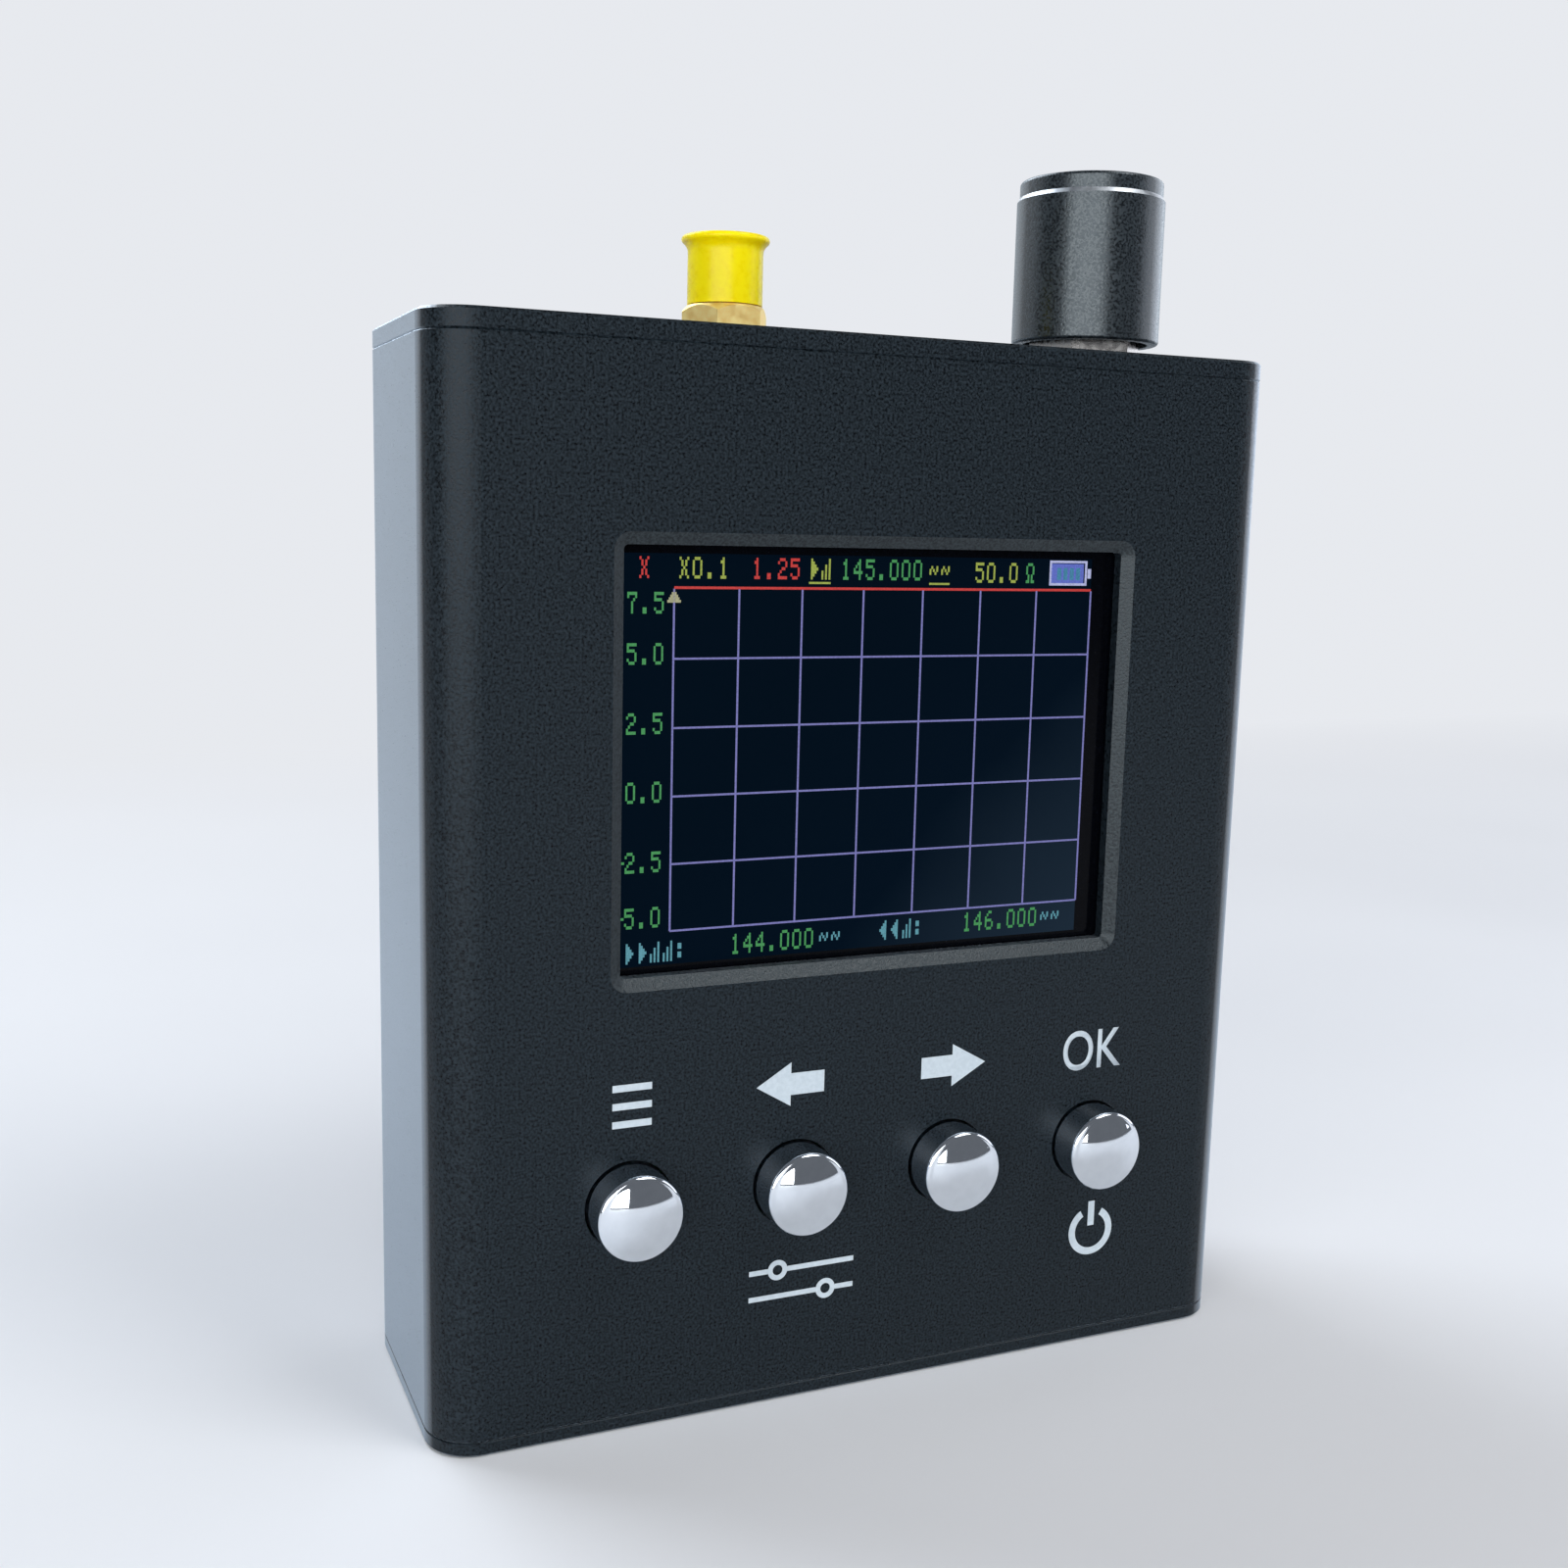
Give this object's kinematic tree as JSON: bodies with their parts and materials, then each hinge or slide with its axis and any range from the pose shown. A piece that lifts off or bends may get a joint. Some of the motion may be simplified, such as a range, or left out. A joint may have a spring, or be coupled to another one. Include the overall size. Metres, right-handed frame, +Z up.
{
  "type": "antenna analyzer",
  "caption": "Hand-held antenna analyzer with a black anodised box, a colour display, chrome push keys, a turning knob and a capped coaxial port.",
  "frame": {"origin": "centre of the base face that the analyzer stands on", "axes": "+Z up to the ports, the display and the keys face -Y, +X to the right as seen from the front"},
  "size_m": [0.084, 0.032, 0.1171],
  "materials": {
    "black_anodised": "fine blasted, black anodised",
    "black_screw": "black oxide",
    "foam": "closed-cell foam",
    "display_glass": "dark glossy display face",
    "white_plastic": "moulded",
    "black_plastic": "moulded",
    "ribbon_film": "amber film",
    "circuit_board": "green solder mask",
    "tin": "tin plate",
    "brass": "turned, lightly worn",
    "gold_contact": "gold plated",
    "nickel": "nickel plated",
    "coax_jacket": "brown jacket",
    "yellow_plastic": "moulded, translucent at the edges",
    "zinc": "die cast",
    "clear_plastic": "frosted clear",
    "battery_wrap": "foil wrap",
    "red_lead": "soft insulation",
    "black_lead": "soft insulation",
    "chrome": "polished"
  },
  "bodies": {
    "case": {"case_body": "black_anodised", "top_end_plate": "black_anodised", "bottom_end_plate": "black_anodised", "top_plate_screws": "black_screw", "bottom_plate_screws": "black_screw", "display_gasket": "foam", "display_glass": "display_glass", "display_backlight": "white_plastic", "display_holder": "black_plastic", "display_ribbon": "ribbon_film", "main_board": "circuit_board", "board_chips": "black_plastic", "shield_can": "tin", "rf_barrel": "brass", "rf_insulator": "white_plastic", "rf_contact": "gold_contact", "rf_washer": "nickel", "rf_nut": "brass", "rf_coax": "coax_jacket", "rf_coax_plug": "gold_contact", "encoder_housing": "zinc", "encoder_washer": "nickel", "encoder_nut": "nickel", "usb_socket": "nickel", "usb_tongue": "black_plastic", "charge_light": "clear_plastic", "battery_pack": "battery_wrap", "battery_pad": "foam", "battery_lead_red": "red_lead", "battery_lead_black": "black_lead", "battery_plug": "white_plastic", "key_1_switch": "black_plastic", "key_2_switch": "black_plastic", "key_3_switch": "black_plastic", "key_4_switch": "black_plastic"},
    "key_1": {"key_1_stem": "black_plastic", "key_1_cap": "chrome"},
    "key_2": {"key_2_stem": "black_plastic", "key_2_cap": "chrome"},
    "key_3": {"key_3_stem": "black_plastic", "key_3_cap": "chrome"},
    "key_4": {"key_4_stem": "black_plastic", "key_4_cap": "chrome"},
    "encoder_plunger": {"encoder_push_plate": "black_plastic"},
    "knob_turner": {"encoder_shaft": "zinc", "knob": "black_anodised", "knob_screw": "black_screw"},
    "port_cap": {"dust_cap": "yellow_plastic"}
  },
  "joints": [
    {"name": "key_1_press", "type": "slide", "parent": "case", "child": "key_1", "axis": [0, 1, 0], "range_m": [0, 0.0003], "stiffness_N_per_m": 2500, "springref_m": -0.0003},
    {"name": "key_2_press", "type": "slide", "parent": "case", "child": "key_2", "axis": [0, 1, 0], "range_m": [0, 0.0003], "stiffness_N_per_m": 2500, "springref_m": -0.0003},
    {"name": "key_3_press", "type": "slide", "parent": "case", "child": "key_3", "axis": [0, 1, 0], "range_m": [0, 0.0003], "stiffness_N_per_m": 2500, "springref_m": -0.0003},
    {"name": "key_4_press", "type": "slide", "parent": "case", "child": "key_4", "axis": [0, 1, 0], "range_m": [0, 0.0003], "stiffness_N_per_m": 2500, "springref_m": -0.0003},
    {"name": "knob_press", "type": "slide", "parent": "case", "child": "encoder_plunger", "axis": [0, 0, -1], "range_m": [0, 0.0005], "stiffness_N_per_m": 4000, "springref_m": -0.0005},
    {"name": "knob_turn", "type": "hinge", "parent": "encoder_plunger", "child": "knob_turner", "pos_m": [0.0282, 0, 0.1], "axis": [0, 0, -1], "continuous": true},
    {"name": "dust_cap_pull", "type": "slide", "parent": "case", "child": "port_cap", "axis": [0, 0, 1], "range_m": [0, 0.012]}
  ]
}
